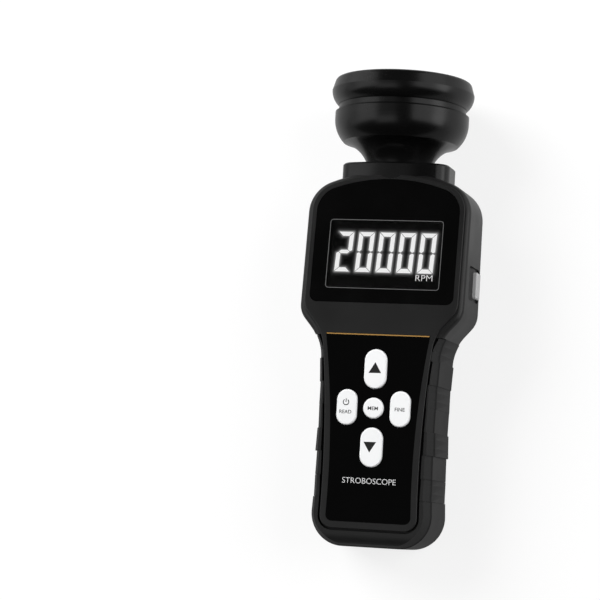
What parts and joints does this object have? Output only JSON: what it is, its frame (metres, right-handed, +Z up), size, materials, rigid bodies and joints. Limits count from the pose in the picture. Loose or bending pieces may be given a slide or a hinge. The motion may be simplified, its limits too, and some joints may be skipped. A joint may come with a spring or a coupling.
{
  "type": "handheld led stroboscope",
  "caption": "Handheld stroboscope with a keypad handle, a leaning display and a round LED lamp head, lying on its back.",
  "frame": {"origin": "on the table, under the middle of the whole instrument as it lies on its back", "axes": "+Z up; +Y along the instrument towards the lamp; +X to the right of the keypad"},
  "size_m": [0.0815, 0.2308, 0.0694],
  "materials": {
    "housing_plastic": "fine grained dark grey moulding",
    "grip_rubber": "satin dark overmoulding",
    "display_window": "glossy black printed round a clear window",
    "lcd_glass": "pale lit display behind the window",
    "label_film": "glossy black foil with printed lettering",
    "key_plastic": "pale grey satin",
    "side_key_plastic": "silver grey",
    "board_laminate": "green board",
    "switch_plastic": "black",
    "screw_steel": "plain",
    "cell_steel": "plain sleeve",
    "contact_steel": "bright",
    "insert_brass": "turned",
    "lamp_plastic": "satin black",
    "lens_clear": "clear, polished",
    "seal_rubber": "black",
    "reflector_mirror": "polished bowl",
    "led_clear": "clear domed"
  },
  "bodies": {
    "housing": {"front_shell": "housing_plastic", "rear_shell": "housing_plastic", "grip": "grip_rubber", "display_panel": "display_window", "lcd_module": "lcd_glass", "keypad_label": "label_film", "key_board": "board_laminate", "key_switches": "switch_plastic", "main_board": "board_laminate", "side_key_board": "board_laminate", "side_switch": "switch_plastic", "board_screws": "screw_steel", "battery_cover": "housing_plastic", "cover_screw": "screw_steel", "left_cell": "cell_steel", "middle_cell": "cell_steel", "right_cell": "cell_steel", "contact_springs": "contact_steel", "contact_plates": "contact_steel", "case_screws": "screw_steel", "tripod_insert": "insert_brass", "neck_collar": "lamp_plastic", "lamp_housing": "lamp_plastic", "neck_nut": "lamp_plastic", "front_ring": "lamp_plastic", "lens": "lens_clear", "lens_seal": "seal_rubber", "reflector": "reflector_mirror", "led_board": "board_laminate", "leds": "led_clear"},
    "up_key": {"up_key": "key_plastic"},
    "down_key": {"down_key": "key_plastic"},
    "read_key": {"read_key": "key_plastic"},
    "fine_key": {"fine_key": "key_plastic"},
    "memory_key": {"memory_key": "key_plastic"},
    "side_key": {"side_key": "side_key_plastic"}
  },
  "joints": [
    {"name": "up_press", "type": "slide", "parent": "housing", "child": "up_key", "axis": [0, 0.0847, -0.9964], "range_m": [0, 0.0008], "stiffness_N_per_m": 400, "springref_m": -0.002},
    {"name": "down_press", "type": "slide", "parent": "housing", "child": "down_key", "axis": [0, 0.0847, -0.9964], "range_m": [0, 0.0008], "stiffness_N_per_m": 400, "springref_m": -0.002},
    {"name": "read_press", "type": "slide", "parent": "housing", "child": "read_key", "axis": [0, 0.0847, -0.9964], "range_m": [0, 0.0008], "stiffness_N_per_m": 400, "springref_m": -0.002},
    {"name": "fine_press", "type": "slide", "parent": "housing", "child": "fine_key", "axis": [0, 0.0847, -0.9964], "range_m": [0, 0.0008], "stiffness_N_per_m": 400, "springref_m": -0.002},
    {"name": "memory_press", "type": "slide", "parent": "housing", "child": "memory_key", "axis": [0, 0.0847, -0.9964], "range_m": [0, 0.0008], "stiffness_N_per_m": 400, "springref_m": -0.002},
    {"name": "side_press", "type": "slide", "parent": "housing", "child": "side_key", "axis": [-1, 0, 0], "range_m": [0, 0.0008], "stiffness_N_per_m": 400, "springref_m": -0.002}
  ]
}
